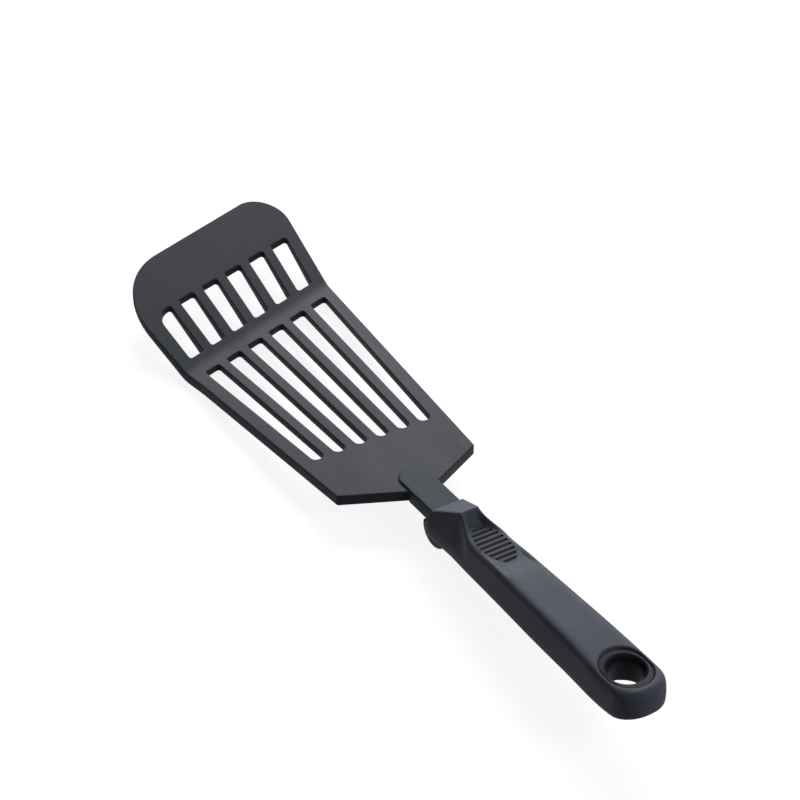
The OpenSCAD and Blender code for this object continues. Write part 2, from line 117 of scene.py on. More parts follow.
# moulded plastic: mottled colour, uneven gloss and a fine grain, all in Object coordinates;
# streaks are the mottling drawn out along the tool, as nylon flows in its mould
def plastic(name, look):
    material = bpy.data.materials.new(name)
    material.use_nodes = True
    nodes, links = material.node_tree.nodes, material.node_tree.links
    shader = nodes["Principled BSDF"]
    place = nodes.new("ShaderNodeTexCoord")
    drawn = nodes.new("ShaderNodeMapping")
    drawn.inputs["Scale"].default_value = (1, 1 / look["streak"], 1)
    links.new(place.outputs["Object"], drawn.inputs["Vector"])

    # a noise texture over the given coordinates
    def noise(scale, detail, vector):
        made = nodes.new("ShaderNodeTexNoise")
        made.inputs["Scale"].default_value = scale
        made.inputs["Detail"].default_value = detail
        links.new(vector, made.inputs["Vector"])
        return made.outputs["Fac"]

    # the middle of the noise's range stretched in a straight line from low to high
    def spread(value, low, high):
        made = nodes.new("ShaderNodeMapRange")
        made.inputs["From Min"].default_value = plasticWork["noiseLow"]
        made.inputs["From Max"].default_value = plasticWork["noiseHigh"]
        made.inputs["To Min"].default_value = low
        made.inputs["To Max"].default_value = high
        links.new(value, made.inputs["Value"])
        return made.outputs["Result"]

    mottle = noise(look["mottleScale"], 4, drawn.outputs["Vector"])
    speck = noise(look["grainScale"] * plasticWork["fleckShare"], 2, place.outputs["Object"])
    tone = nodes.new("ShaderNodeMix")
    tone.data_type = "RGBA"
    links.new(spread(mottle, 0, 1), tone.inputs[0])
    tone.inputs[6].default_value = (*[c * (1 - look["mottle"]) for c in look["color"]], 1)
    tone.inputs[7].default_value = (*[c * (1 + look["mottle"]) for c in look["color"]], 1)
    flecked = nodes.new("ShaderNodeMix")
    flecked.data_type = "RGBA"
    flecked.blend_type = "MULTIPLY"
    flecked.inputs[0].default_value = 1
    links.new(tone.outputs[2], flecked.inputs[6])
    fleck = nodes.new("ShaderNodeCombineColor")
    for channel in ("Red", "Green", "Blue"):
        links.new(spread(speck, 1 - look["fleck"], 1 + look["fleck"]), fleck.inputs[channel])
    links.new(fleck.outputs["Color"], flecked.inputs[7])
    links.new(flecked.outputs[2], shader.inputs["Base Color"])

    gloss = noise(look["glossScale"], 3, drawn.outputs["Vector"])
    links.new(spread(gloss, look["roughness"] - look["uneven"], look["roughness"] + look["uneven"]),
              shader.inputs["Roughness"])
    shader.inputs["Specular IOR Level"].default_value = look["specular"]

    grain = nodes.new("ShaderNodeBump")
    grain.inputs["Strength"].default_value = look["grain"]
    grain.inputs["Distance"].default_value = plasticWork["grainDepth"]
    links.new(noise(look["grainScale"], 3, place.outputs["Object"]), grain.inputs["Height"])
    wave = nodes.new("ShaderNodeBump")
    wave.inputs["Strength"].default_value = look["wave"]
    wave.inputs["Distance"].default_value = plasticWork["waveDepth"]
    links.new(noise(look["waveScale"], 2, drawn.outputs["Vector"]), wave.inputs["Height"])
    links.new(wave.outputs["Normal"], grain.inputs["Normal"])
    links.new(grain.outputs["Normal"], shader.inputs["Normal"])
    return material


# drawn steel for the hidden pins: fine scratches round the pin
def drawnSteel(name, look):
    material = bpy.data.materials.new(name)
    material.use_nodes = True
    nodes, links = material.node_tree.nodes, material.node_tree.links
    shader = nodes["Principled BSDF"]
    shader.inputs["Metallic"].default_value = 1
    shader.inputs["Base Color"].default_value = (*look["color"], 1)
    place = nodes.new("ShaderNodeTexCoord")
    drawn = nodes.new("ShaderNodeMapping")
    drawn.inputs["Scale"].default_value = (look["stretch"], 1, 1)
    lines = nodes.new("ShaderNodeTexNoise")
    lines.inputs["Scale"].default_value = look["lineScale"]
    rough = nodes.new("ShaderNodeMapRange")
    rough.inputs["To Min"].default_value = look["roughness"] - look["uneven"]
    rough.inputs["To Max"].default_value = look["roughness"] + look["uneven"]
    links.new(place.outputs["Object"], drawn.inputs["Vector"])
    links.new(drawn.outputs["Vector"], lines.inputs["Vector"])
    links.new(lines.outputs["Fac"], rough.inputs["Value"])
    links.new(rough.outputs["Result"], shader.inputs["Roughness"])
    return material


nylonLook = {
    "color": (0.042, 0.0478, 0.065),
    "mottle": 0.07, "mottleScale": 60, "streak": 5, "fleck": 0.05,
    "roughness": 0.5, "uneven": 0.03, "glossScale": 90, "specular": 0.06,
    "grain": 0.22, "grainScale": 5200, "wave": 0.03, "waveScale": 70,
}
gripLook = {
    "color": (0.0885, 0.0975, 0.1255),
    "mottle": 0.06, "mottleScale": 45, "streak": 3, "fleck": 0.07,
    "roughness": 0.62, "uneven": 0.05, "glossScale": 60, "specular": 0.12,
    "grain": 0.3, "grainScale": 6500, "wave": 0.04, "waveScale": 60,
}
stemLook = {**nylonLook, "color": (0.0375, 0.044, 0.063), "streak": 8}
padLook = {**gripLook, "color": (0.070, 0.075, 0.093), "roughness": 0.66, "grain": 0.34}
footLook = {**gripLook, "color": (0.066, 0.073, 0.085), "roughness": 0.6, "mottleScale": 80}
eyeletLook = {
    "color": (0.0145, 0.0140, 0.0220),
    "mottle": 0.05, "mottleScale": 80, "streak": 1, "fleck": 0.04,
    "roughness": 0.4, "uneven": 0.06, "glossScale": 120, "specular": 0.06,
    "grain": 0.1, "grainScale": 5000, "wave": 0.04, "waveScale": 90,
}
coreLook = {**eyeletLook, "roughness": 0.6, "mottleScale": 50}
steelLook = {
    "color": (0.55, 0.56, 0.58), "roughness": 0.32, "uneven": 0.1, "lineScale": 900, "stretch": 8,
}

materials = {
    "head": plastic("satinNylonHead", nylonLook),
    "stem": plastic("satinNylonStem", stemLook),
    "grip": plastic("softTouchGrip", gripLook),
    "pad": plastic("softTouchPad", padLook),
    "foot": plastic("softTouchFoot", footLook),
    "eyelet": plastic("eyeletPlastic", eyeletLook),
    "core": plastic("corePlastic", coreLook),
    "pins": drawnSteel("pinSteel", steelLook),
}
print("materials made:", len(materials))


# metres under which points are merged, and edges count as no length
mergeWithin, noLength = 2e-6, 1e-7


# one piece from points in the head's frame: doubles merged, faces turned outwards, shaded smooth
def makePiece(name, points, faces, material, node, floorAt=None):
    placed = toWorktop(points)
    if floorAt is not None:
        placed[:, 2] = np.maximum(placed[:, 2], floorAt)
    mesh = bpy.data.meshes.new(name)
    mesh.from_pydata(placed.tolist(), [], faces)
    work = bmesh.new()
    work.from_mesh(mesh)
    bmesh.ops.remove_doubles(work, verts=work.verts, dist=mergeWithin)
    bmesh.ops.dissolve_degenerate(work, edges=work.edges, dist=noLength)
    bmesh.ops.recalc_face_normals(work, faces=work.faces)
    openEdges = sum(not e.is_manifold for e in work.edges)
    work.to_mesh(mesh)
    work.free()
    mesh.shade_smooth()
    mesh.materials.append(material)
    piece = bpy.data.objects.new(name, mesh)
    bpy.context.scene.collection.objects.link(piece)
    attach(piece, "root")
    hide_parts(node)
    print(f"{name}: {len(mesh.polygons)} faces, {openEdges} open edges")
    return piece


# quads over a grid of rows x columns points, numbered row by row; closed says what wraps round
def gridFaces(rows, columns, start=0, closedRows=False, closedColumns=False):
    i = np.arange(rows if closedRows else rows - 1)[:, None]
    j = np.arange(columns if closedColumns else columns - 1)[None, :]
    nextI, nextJ = (i + 1) % rows, (j + 1) % columns
    corners = [i * columns + j, i * columns + nextJ, nextI * columns + nextJ, nextI * columns + j]
    return (np.stack([np.broadcast_to(c, np.broadcast(i, j).shape) for c in corners], -1)
            .reshape(-1, 4) + start).tolist()


# a closed outline from corners (x, y, radius): each corner is an arc between its two sides, and
# the sides are divided so that no step is longer than gap
def roundedLoop(corners, gap, turns=8):
    corners = np.asarray(corners, float)
    spot, radius = corners[:, :2], corners[:, 2]
    toLast, toNext = np.roll(spot, 1, 0) - spot, np.roll(spot, -1, 0) - spot
    u = toLast / np.linalg.norm(toLast, axis=1)[:, None]
    v = toNext / np.linalg.norm(toNext, axis=1)[:, None]
    half = np.arccos(np.clip((u * v).sum(1), -1, 1)) / 2
    bisector = (u + v) / np.linalg.norm(u + v, axis=1)[:, None]
    centre = spot + bisector * (radius / np.sin(half))[:, None]
    start = spot + u * (radius / np.tan(half))[:, None]
    stop = spot + v * (radius / np.tan(half))[:, None]
    sweep = -np.sign(u[:, 0] * v[:, 1] - u[:, 1] * v[:, 0]) * (np.pi - 2 * half)
    stretches = []
    for k in range(len(corners)):
        steps = max(turns, math.ceil(radius[k] * abs(sweep[k]) / gap))
        a = sweep[k] * np.arange(steps + 1) / steps
        x, y = start[k] - centre[k]
        turned = np.stack([x * np.cos(a) - y * np.sin(a), x * np.sin(a) + y * np.cos(a)], 1)
        side = start[(k + 1) % len(corners)] - stop[k]
        steps = max(math.ceil(np.linalg.norm(side) / gap), 1)
        stretches += [centre[k] + turned, stop[k] + np.arange(1, steps)[:, None] / steps * side]
    return np.concatenate(stretches)


# every point of a closed outline moved to its left by the distance, square to the outline
def offsetLoop(loop, distance):
    back, ahead = loop - np.roll(loop, 1, 0), np.roll(loop, -1, 0) - loop
    back /= np.linalg.norm(back, axis=1)[:, None]
    ahead /= np.linalg.norm(ahead, axis=1)[:, None]
    along = back + ahead
    along /= np.linalg.norm(along, axis=1)[:, None]
    stretch = 1 / np.maximum((along * back).sum(1), 0.5)
    return loop + np.stack([-along[:, 1], along[:, 0]], 1) * (distance * stretch)[:, None]


# triangles that fill the first closed outline, less the later ones, with spare points inside it:
# Delaunay's rule in the plane. loops and spare hold the points' numbers, plan their places. A
# triangle lies in a later outline if its corners are all on it and go round it the same way.
def fillFaces(plan, loops, spare=()):
    used = np.concatenate([*loops, np.asarray(spare, int)])
    starts = np.cumsum([0, *map(len, loops)])
    edges = np.concatenate([
        np.stack([np.arange(len(loop)), (np.arange(len(loop)) + 1) % len(loop)], 1) + start
        for loop, start in zip(loops, starts)])
    made = delaunay_2d_cdt(list(map(Vector, plan[used].tolist())), edges.tolist(), [], 1, 1e-6)
    source = np.fromiter(map(min, made[3]), int)
    triangles = used[source[np.array(made[2])]]
    for loop in loops[1:]:
        order = np.full(len(plan), -1)
        order[loop] = np.arange(len(loop))
        p, q, r = order[triangles].T
        x, y = plan[loop].T
        area = (x * np.roll(y, -1) - y * np.roll(x, -1)).sum()
        within = (np.minimum(np.minimum(p, q), r) >= 0) & ((q - p) * (r - q) * (p - r) * area < 0)
        triangles = triangles[~within]
    return triangles.tolist()


headSize = {
    "rearWidth": 60.6, "rightFlare": 5.1, "leftFlare": 5.5, "leftFrontFlare": 9.0,
    "turnBack": 10.0, "turnRound": 120.0, "rearPanel": 115.5, "length": 172.5,
    "skew": 19.5, "edgeSkew": 20.7, "bend": 19.0, "bendRadius": 14.0,
    "thickness": 4.4, "ribThickness": 3.0, "rim": 3.4, "edgeThickness": 1.2,
    "shoulder": 11.5, "rightCorner": 13.0, "leftCorner": 35.0, "rearCorner": 1.0,
    "recessStart": 13.0, "recessToBend": 3.0, "recessRound": 3.0, "recessFillet": 0.5,
    "topRound": 0.42, "lowRound": 0.4, "shelf": 0.35, "tuck": 1.2, "neckRound": 0.2,
    "tuckRound": 1.0,
    "bendRows": 14, "bendColumns": 40, "bendMargin": 1.8, "bendPast": 1.2,
    "bendBefore": 0.6, "bendBeforeLow": 1.0,
}
slotSize = {
    "count": 6, "rearPitch": 9.5, "frontPitch": 12.3, "rib": 4.55, "shortRib": 5.0,
    "start": 23.6, "rearBand": 5.4, "frontBand": 5.1, "shortLength": 26.2,
    "longShift": 0.1, "shortShift": 1.0, "corner": 0.9, "outerShare": 1.15, "tipShare": 0.46,
}
stemSize = {
    "width": 12.8, "rise": 0.8, "drop": 0.9, "reach": 0.6, "backY": -42.0,
    "topRound": 0.65, "lowRound": 0.9, "shelf": 0.45, "sunk": 0.5,
    "barSteps": 30, "tongueSteps": 12, "tipSteps": 64, "sunkIn": 0.5, "step": 0.01,
}
stemHalf = stemSize["width"] / 2

skewAngle = math.radians(headSize["skew"])
skewRun = math.tan(skewAngle)
edgeRun = math.tan(math.radians(headSize["edgeSkew"]))
sideRun = {side: math.tan(math.radians(headSize[flare]))
           for side, flare in ((1, "rightFlare"), (-1, "leftFlare"))}
bendAngle = math.radians(headSize["bend"])
bendTangent = headSize["bendRadius"] * math.tan(bendAngle / 2)
frontPanel = headSize["length"] - headSize["rearPanel"]
frontReach = frontPanel * math.cos(skewAngle) / math.cos(bendAngle)


# distance ahead of the bend's line, square to it
def pastBend(x, y):
    return (y - headSize["rearPanel"]) * math.cos(skewAngle) - x * math.sin(skewAngle)


# the head's top: level, then an arc of the bend's radius, then a slope
def headTop(x, y):
    u, r = pastBend(x, y), headSize["bendRadius"]
    s = np.clip(u + bendTangent, 0, r * math.sin(bendAngle))
    beyond = np.maximum(u + bendTangent - r * math.sin(bendAngle), 0)
    return r - np.sqrt(r * r - s * s) + beyond * math.tan(bendAngle)


# the head's underside: level, an arc round the same centre, then a slope that closes in on the top
def headLow(x, y):
    u, r = pastBend(x, y), headSize["bendRadius"] + headSize["thickness"]
    s = np.clip(u + bendTangent, 0, r * math.sin(bendAngle))
    arcEnd = r * math.sin(bendAngle) - bendTangent
    arcEndZ = headSize["bendRadius"] - r * math.cos(bendAngle)
    edgeU = frontReach * math.cos(bendAngle) + headSize["edgeThickness"] * math.sin(bendAngle)
    edgeZ = frontReach * math.sin(bendAngle) - headSize["edgeThickness"] * math.cos(bendAngle)
    slope = (edgeZ - arcEndZ) / (edgeU - arcEnd)
    closing = np.clip(u - arcEnd, 0, edgeU - arcEnd) * slope
    parallel = np.maximum(u - edgeU, 0) * math.tan(bendAngle)
    return headSize["bendRadius"] - np.sqrt(r * r - s * s) + closing + parallel


# a side's x: half the rear width and the side's slope times y, to the right or to the left
def sideX(y, side):
    return side * (headSize["rearWidth"] / 2 + sideRun[side] * y)


# where a side meets a line across the head that crosses the middle at y and climbs by run
def sideCross(y, side, run):
    x = sideX(y, side) / (1 - side * sideRun[side] * run)
    return x, y + run * x


# the head's outline from the stem's right side round the leading edge to the stem's left side;
# the left side turns outwards a little behind the bend, and its two lines meet in a wide arc
def headOutline():
    bendLeft = sideCross(headSize["rearPanel"], -1, skewRun)
    turnY = bendLeft[1] - headSize["turnBack"]
    turnX = sideX(turnY, -1)
    outRun = math.tan(math.radians(headSize["leftFrontFlare"]))
    edgeLeftX = (turnX - outRun * (headSize["length"] - turnY)) / (1 + outRun * edgeRun)
    edgeLeft = (edgeLeftX, headSize["length"] + edgeRun * edgeLeftX)
    edgeRight = sideCross(headSize["length"], 1, edgeRun)
    half, shoulder, tuck = headSize["rearWidth"] / 2, headSize["shoulder"], headSize["tuck"]
    return roundedLoop([
        (stemHalf - tuck / 2, -shoulder - tuck, headSize["tuckRound"]),
        (stemHalf, -shoulder, headSize["neckRound"]),
        (half, 0, headSize["rearCorner"]),
        (*edgeRight, headSize["rightCorner"]),
        (*edgeLeft, headSize["leftCorner"]),
        (turnX, turnY, headSize["turnRound"]),
        (-half, 0, headSize["rearCorner"]),
        (-stemHalf, -shoulder, headSize["neckRound"]),
        (tuck / 2 - stemHalf, -shoulder - tuck, headSize["tuckRound"])], gap=1.0)


# the slots fan out from the rear: a slot's side lies on a line through k pitches from the middle
longEnd = headSize["rearPanel"] - slotSize["rearBand"]
pitchRun = (slotSize["frontPitch"] - slotSize["rearPitch"]) / (longEnd - slotSize["start"])
pitchZero = slotSize["rearPitch"] - pitchRun * slotSize["start"]


# the point where a slot's side meets a line across the head that crosses the middle at y and
# climbs by run
def slotCorner(index, side, y, run, rib, shift):
    k = index - (slotSize["count"] - 1) / 2 + side / 2
    atZero = k * pitchZero - side * rib / 2 - shift
    cross = (y + run * atZero) / (1 - run * k * pitchRun)
    return atZero + k * pitchRun * cross, cross


# a long slot: round at its rear, cut parallel to the bend in front
def longSlot(index):
    rib, shift = slotSize["rib"], slotSize["longShift"]
    tipRound = (slotSize["rearPitch"] - rib) * slotSize["tipShare"]
    return roundedLoop([
        (*slotCorner(index, -1, slotSize["start"], 0, rib, shift), tipRound),
        (*slotCorner(index, 1, slotSize["start"], 0, rib, shift), tipRound),
        (*slotCorner(index, 1, longEnd, skewRun, rib, shift), slotSize["corner"]),
        (*slotCorner(index, -1, longEnd, skewRun, rib, shift), slotSize["corner"])], gap=2.0)


# a short slot, with both ends parallel to the bend; the outer left one's front corner has a radius
# that is a share of the slot's width
def shortSlot(index):
    rib, shift = slotSize["shortRib"], slotSize["shortShift"]
    rear = headSize["rearPanel"] + slotSize["frontBand"]
    front = rear + slotSize["shortLength"]
    left, right = (slotCorner(index, side, front, skewRun, rib, shift) for side in (-1, 1))
    small = slotSize["corner"]
    outer = slotSize["outerShare"] * (right[0] - left[0]) if index == 0 else small
    return roundedLoop([
        (*slotCorner(index, -1, rear, skewRun, rib, shift), small),
        (*slotCorner(index, 1, rear, skewRun, rib, shift), small),
        (*right, small), (*left, outer)], gap=2.0)


# the recess under the long ribs stays a rim's width inside the head's sides
def recessOutline():
    rim, start = headSize["rim"], headSize["recessStart"]
    front = headSize["rearPanel"] - headSize["recessToBend"]
    right, left = sideCross(front, 1, skewRun), sideCross(front, -1, skewRun)
    bend = headSize["recessRound"]
    return roundedLoop([
        (sideX(start, -1) + rim, start, bend),
        (sideX(start, 1) - rim, start, bend),
        (right[0] - rim, right[1] - rim * skewRun, bend),
        (left[0] + rim, left[1] + rim * skewRun, bend)], gap=2.0)


# a quarter round of a radius: how far in from the wall, and how far down from the face
quarter = np.linspace(0, np.pi / 2, 6)


# the head: each outline is carried down a profile of face, quarter round, wall, quarter round and
# face, and the faces between the outlines are filled
def buildHead():
    points, plans, faces = [], [], []

    # keeps a ring of points and returns their numbers
    def addRing(plan, z):
        first = sum(map(len, points))
        points.append(np.column_stack([plan, z]))
        plans.append(plan)
        return np.arange(first, first + len(plan))

    # a wall along a loop, with a quarter round at its top edge and one at its low edge
    def addWall(loop, inward, lowZ):
        high, low, shelf = headSize["topRound"], headSize["lowRound"], headSize["shelf"]
        rings = []
        for inset, down in [(high + shelf, 0), *zip(high * (1 - np.sin(quarter)),
                                                   high * (1 - np.cos(quarter)))]:
            plan = offsetLoop(loop, inward * inset)
            rings.append(addRing(plan, headTop(*plan.T) - down))
        rising = quarter[::-1]
        for inset, up in [*zip(low * (1 - np.sin(rising)), low * (1 - np.cos(rising))),
                          (low + shelf, 0)]:
            plan = offsetLoop(loop, inward * inset)
            rings.append(addRing(plan, lowZ(*plan.T) + up))
        joinRings(rings)
        return rings[0], rings[-1]

    # quads from each ring to the next
    def joinRings(rings):
        for a, b in zip(rings, rings[1:]):
            faces.extend(np.stack([a, np.roll(a, -1), np.roll(b, -1), b], 1).tolist())

    # spare points in rows along the bend, so that its arc comes out round
    def bendPoints(firstU, height):
        h = headSize
        u = np.linspace(firstU, bendTangent + h["bendPast"], h["bendRows"])[:, None]
        across = np.linspace(0, 1, h["bendColumns"])[None, :]
        y = h["rearPanel"] + u / math.cos(skewAngle)
        left = sideCross(y, -1, skewRun)[0] + h["bendMargin"]
        right = sideCross(y, 1, skewRun)[0] - h["bendMargin"]
        x = mix(left, right, across)
        plan = np.stack([x, y + skewRun * x], -1).reshape(-1, 2)
        return addRing(plan, height(*plan.T))

    # the ribs' underside is level
    def ribLow(x, y):
        return np.full_like(x, -headSize["ribThickness"])

    outerTop, outerLow = addWall(headOutline(), 1, headLow)
    longRings = [addWall(longSlot(i), -1, ribLow) for i in range(slotSize["count"])]
    shortRings = [addWall(shortSlot(i), -1, headLow) for i in range(slotSize["count"])]

    # the recess under the long ribs: its wall runs from the rim's edge up to the ribs
    recess, low, fillet = recessOutline(), headSize["lowRound"], headSize["recessFillet"]
    rings = []
    for out, up in [(low + headSize["shelf"], 0), *zip(low * (1 - np.sin(quarter)),
                                                       low * (1 - np.cos(quarter)))]:
        plan = offsetLoop(recess, -out)
        rings.append(addRing(plan, headLow(*plan.T) + up))
    for inset, down in [*zip(fillet * (1 - np.cos(quarter)), fillet * (1 - np.sin(quarter))),
                        (fillet + headSize["shelf"], 0)]:
        plan = offsetLoop(recess, inset)
        rings.append(addRing(plan, ribLow(*plan.T) - down))
    joinRings(rings)

    topBend = bendPoints(-bendTangent - headSize["bendBefore"], headTop)
    lowBend = bendPoints(-bendTangent + headSize["bendBeforeLow"], headLow)
    plan = np.concatenate(plans)
    faces += fillFaces(plan, [outerTop, *[r[0] for r in longRings + shortRings]], topBend)
    faces += fillFaces(plan, [outerLow, rings[0], *[r[1] for r in shortRings]], lowBend)
    faces += fillFaces(plan, [rings[-1], *[r[1] for r in longRings]])
    return makePiece("slottedHead", np.concatenate(points), faces, materials["head"],
                     "blade")


buildHead()


# the stem: a profile of top face, quarter round, side, quarter round and underside, carried along
# an outline that runs up the left side, round the tongue's end and down the right side. Ahead of
# the head's rear edge it is only the tongue, sunk a little into the head.
def buildStem():
    tongueY = stemSize["reach"] - stemHalf
    edgeY, step = -headSize["shoulder"], stemSize["step"]
    straight = np.concatenate([
        np.linspace(stemSize["backY"], edgeY - step, stemSize["barSteps"]),
        np.linspace(edgeY + step, tongueY, stemSize["tongueSteps"])])
    ones, noughts = np.ones(len(straight)), np.zeros(len(straight))
    a = np.linspace(np.pi, 0, stemSize["tipSteps"] + 1)[1:-1]
    outlineX = np.concatenate([-stemHalf * ones, stemHalf * np.cos(a), stemHalf * ones])
    outlineY = np.concatenate([straight, tongueY + stemHalf * np.sin(a), straight[::-1]])
    inX = np.concatenate([ones, -np.cos(a), -ones])
    inY = np.concatenate([noughts, -np.sin(a), noughts])
    bar = outlineY < edgeY
    low = np.where(bar, -headSize["thickness"] - stemSize["drop"], -stemSize["sunk"])
    lowRound = np.where(bar, stemSize["lowRound"], 0)
    high, topRound, shelf = stemSize["rise"], stemSize["topRound"], stemSize["shelf"]
    spine = np.column_stack([np.zeros_like(outlineX), np.minimum(outlineY, tongueY)])

    # the outline moved inwards by inset, at height z
    def carried(inset, z):
        return np.column_stack([outlineX + inX * inset, outlineY + inY * inset,
                                np.broadcast_to(z, outlineX.shape)])

    rows = [np.column_stack([spine, np.full_like(outlineX, high)]),
            carried(topRound + shelf, high)]
    rows += [carried(topRound * (1 - np.sin(q)), high - topRound * (1 - np.cos(q)))
             for q in quarter]
    rows += [carried(lowRound * (1 - np.sin(q)), low + lowRound * (1 - np.cos(q)))
             for q in quarter[::-1]]
    rows += [carried(np.where(bar, lowRound + shelf, stemSize["sunkIn"]), low),
             np.column_stack([spine, low])]
    count = len(outlineX)
    faces = gridFaces(len(rows), count)
    faces.append([r * count for r in range(len(rows))]
                 + [r * count + count - 1 for r in reversed(range(1, len(rows) - 1))])
    return makePiece("stemBar", np.concatenate(rows), faces, materials["stem"],
                     "stem")


buildStem()


# how far back a station lies, from 0 at the crest to 1 at the hanging hole
def alongGrip(y):
    return (crestY - y) / (crestY - holeY)


# over the tail's length, up to the hanging hole, the grip gets a little lower and wider
def tailShare(y):
    return smooth((holeY + gripSize["tailLength"] - y) / gripSize["tailLength"])


# the top: a facet climbs to the crest, the thumb's dip falls from it in a parabola, and the two
# meet in a soft minimum; behind the dip the top rises again and runs down to the hanging hole
def gripTop(y):
    g = gripSize
    facet = mix(g["noseHeight"], g["crestHeight"], (g["frontY"] - y) / g["facetLength"])
    behind = crestY - y
    fall = 1 - np.maximum(1 - behind / g["dipLength"], 0) ** 2
    dip = mix(g["crestHeight"], g["dipHeight"], fall)
    back = mix(g["middleHeight"], g["rearHeight"], smooth(alongGrip(y)))
    back = back - g["tailDrop"] * tailShare(y)
    top = mix(dip, back, smooth((behind - g["dipEnd"]) / g["dipRise"]))
    k = g["crestSharpness"]
    low, high = np.minimum(facet, top), np.maximum(facet, top)
    return low - np.log1p(np.exp(-k * np.minimum(high - low, 20))) / k


# the underside: level over the belly's share of the way, then a smooth step to the rear's depth
def gripLow(y):
    share = (alongGrip(y) - gripSize["belly"]) / (1 - gripSize["belly"])
    return -mix(gripSize["frontDepth"], gripSize["rearDepth"], smooth(share))


# half the width: a smooth step from the front's to the rear's, less a little at the nose and more
# towards the hanging hole
def gripHalf(y):
    nose = 1 - smooth((gripSize["frontY"] - y) / gripSize["noseLength"])
    wide = mix(gripSize["frontWidth"], gripSize["rearWidth"], smooth(alongGrip(y))) / 2
    return wide - gripSize["noseIn"] * nose + gripSize["tailFlare"] * tailShare(y)


# how far the sides lean in over the upper half
def gripLean(y):
    ahead = np.clip((gripSize["frontY"] - y) / gripSize["facetLength"], 0, 1)
    return gripSize["crestLean"] * ahead * (1 - smooth((crestY - y) / gripSize["leanLength"]))


# 2 is an ellipse, more is squarer: the upper half is nearly sharp as far as the crest, and both
# halves get rounder towards the end
def gripSquareness(y, upper):
    g = gripSize
    behind = smooth((crestY + g["squareLead"] - y) / g["squareFade"])
    above = mix(g["crestSquareness"], g["topSquareness"], behind)
    squareness = np.where(upper, above, g["lowSquareness"])
    towardsEnd = smooth((gripEndY + g["endRounding"] - y) / g["endRounding"])
    return mix(squareness, g["endSquareness"], towardsEnd)


# the round end: sections shrink sideways as a superellipse over the last stretch
def endScale(y):
    q = np.clip((gripEndY + gripSize["endLength"] - y) / gripSize["endLength"], 0, 1)
    return (1 - q ** gripSize["endPower"]) ** (1 / gripSize["endPower"])


# and in height as an ellipse, over a longer stretch below than above: upward is 1 at a section's
# top and -1 at its underside
def endRise(y, upward):
    stretch = mix(gripSize["endLow"], gripSize["endTop"], (1 + upward) / 2)
    q = np.clip((gripEndY + stretch - y) / stretch, 0, 1)
    return mix(gripSize["endHeight"], 1, np.sqrt(1 - q * q))


padSize = {
    "length": 23.2, "width": 12.0, "height": 3.9, "thickness": 3.0, "proud": 0.02,
    "grooves": 9, "grooveWidth": 1.05, "grooveDepth": 0.9, "groovePitch": 2.47,
    "grooveMargin": 0.4, "eggBack": 0.75, "eggExtra": 0.36, "grooveWall": 0.22, "step": 0.11,
    "well": 1.7, "across": 97,
}
padY = crestY - gripSize["scoopDrop"] - padSize["length"] / 2


# how deep the thumb scoop is at a point: 0 outside it, 1 on its floor; a rim stays at the sides
def scoopShare(x, y):
    g = gripSize
    rimInside = gripHalf(y) * g["flatShare"] * (1 - gripLean(y)) - g["scoopRim"]
    half = np.minimum(padSize["width"] / 2 + g["scoopMargin"], rimInside)
    rear = padY - padSize["length"] / 2 + g["scoopLead"]
    return (smooth((crestY - g["scoopStart"] - y) / g["scoopDrop"])
            * (1 - smooth((rear - y) / g["scoopFade"]))
            * (1 - smooth((np.abs(x) - half + g["scoopInset"]) / g["scoopWall"])))


# a point of the grip's surface: a superellipse section at y, at the angle a round it, drawn in by
# inset; its upper half leans in at the crest and sinks to the scoop's floor
def gripPoint(y, a, inset=0.0):
    y, a = np.broadcast_arrays(np.asarray(y, float), a)
    n = gripSquareness(y, np.sin(a) > 0)
    reach = (np.abs(np.cos(a)) ** n + np.abs(np.sin(a)) ** n) ** (-1 / n)
    across, upward = reach * np.cos(a), reach * np.sin(a)
    top, low = gripTop(y), gripLow(y)
    middle, halfHeight = (top + low) / 2, (top - low) / 2 - inset
    leanFrom = gripSize["leanFrom"]
    lean = 1 - gripLean(y) * smooth((upward + leanFrom) / (1 + leanFrom))
    x = (gripHalf(y) - inset) * endScale(y) * across * lean
    z = middle + halfHeight * endRise(y, upward) * upward
    floor = np.minimum(z, padSize["height"])
    z = np.where(upward > 0, mix(z, floor, scoopShare(x, y)), z)
    return np.stack([x, y, z], -1)


# the angle of the surface point above (side 1) or below (side -1) a place in plan, behind the lean
def gripAngle(x, y, side):
    n = gripSquareness(y, side > 0)
    across = np.clip(x / (gripHalf(y) * endScale(y)), -0.9999, 0.9999)
    upward = side * (1 - np.abs(across) ** n) ** (1 / n)
    return np.arctan2(upward, across) % (2 * np.pi)


# an oval of two half circles and two straight sides, widened by extra, as a closed outline
def eyeletLoop(extra, count):
    half, straight = eyeletSize["width"] / 2, (eyeletSize["length"] - eyeletSize["width"]) / 2
    a = np.arange(count) / count * 2 * np.pi
    c, s = np.abs(np.cos(a)), np.abs(np.sin(a))
    r = half + extra
    toSide = r / np.maximum(c, 1e-9)
    toEnd = straight * s + np.sqrt(np.maximum(r * r - (straight * c) ** 2, 0))
    reach = np.where(toSide * s <= straight, toSide, toEnd)
    return np.column_stack([reach * np.cos(a), holeY + reach * np.sin(a)])


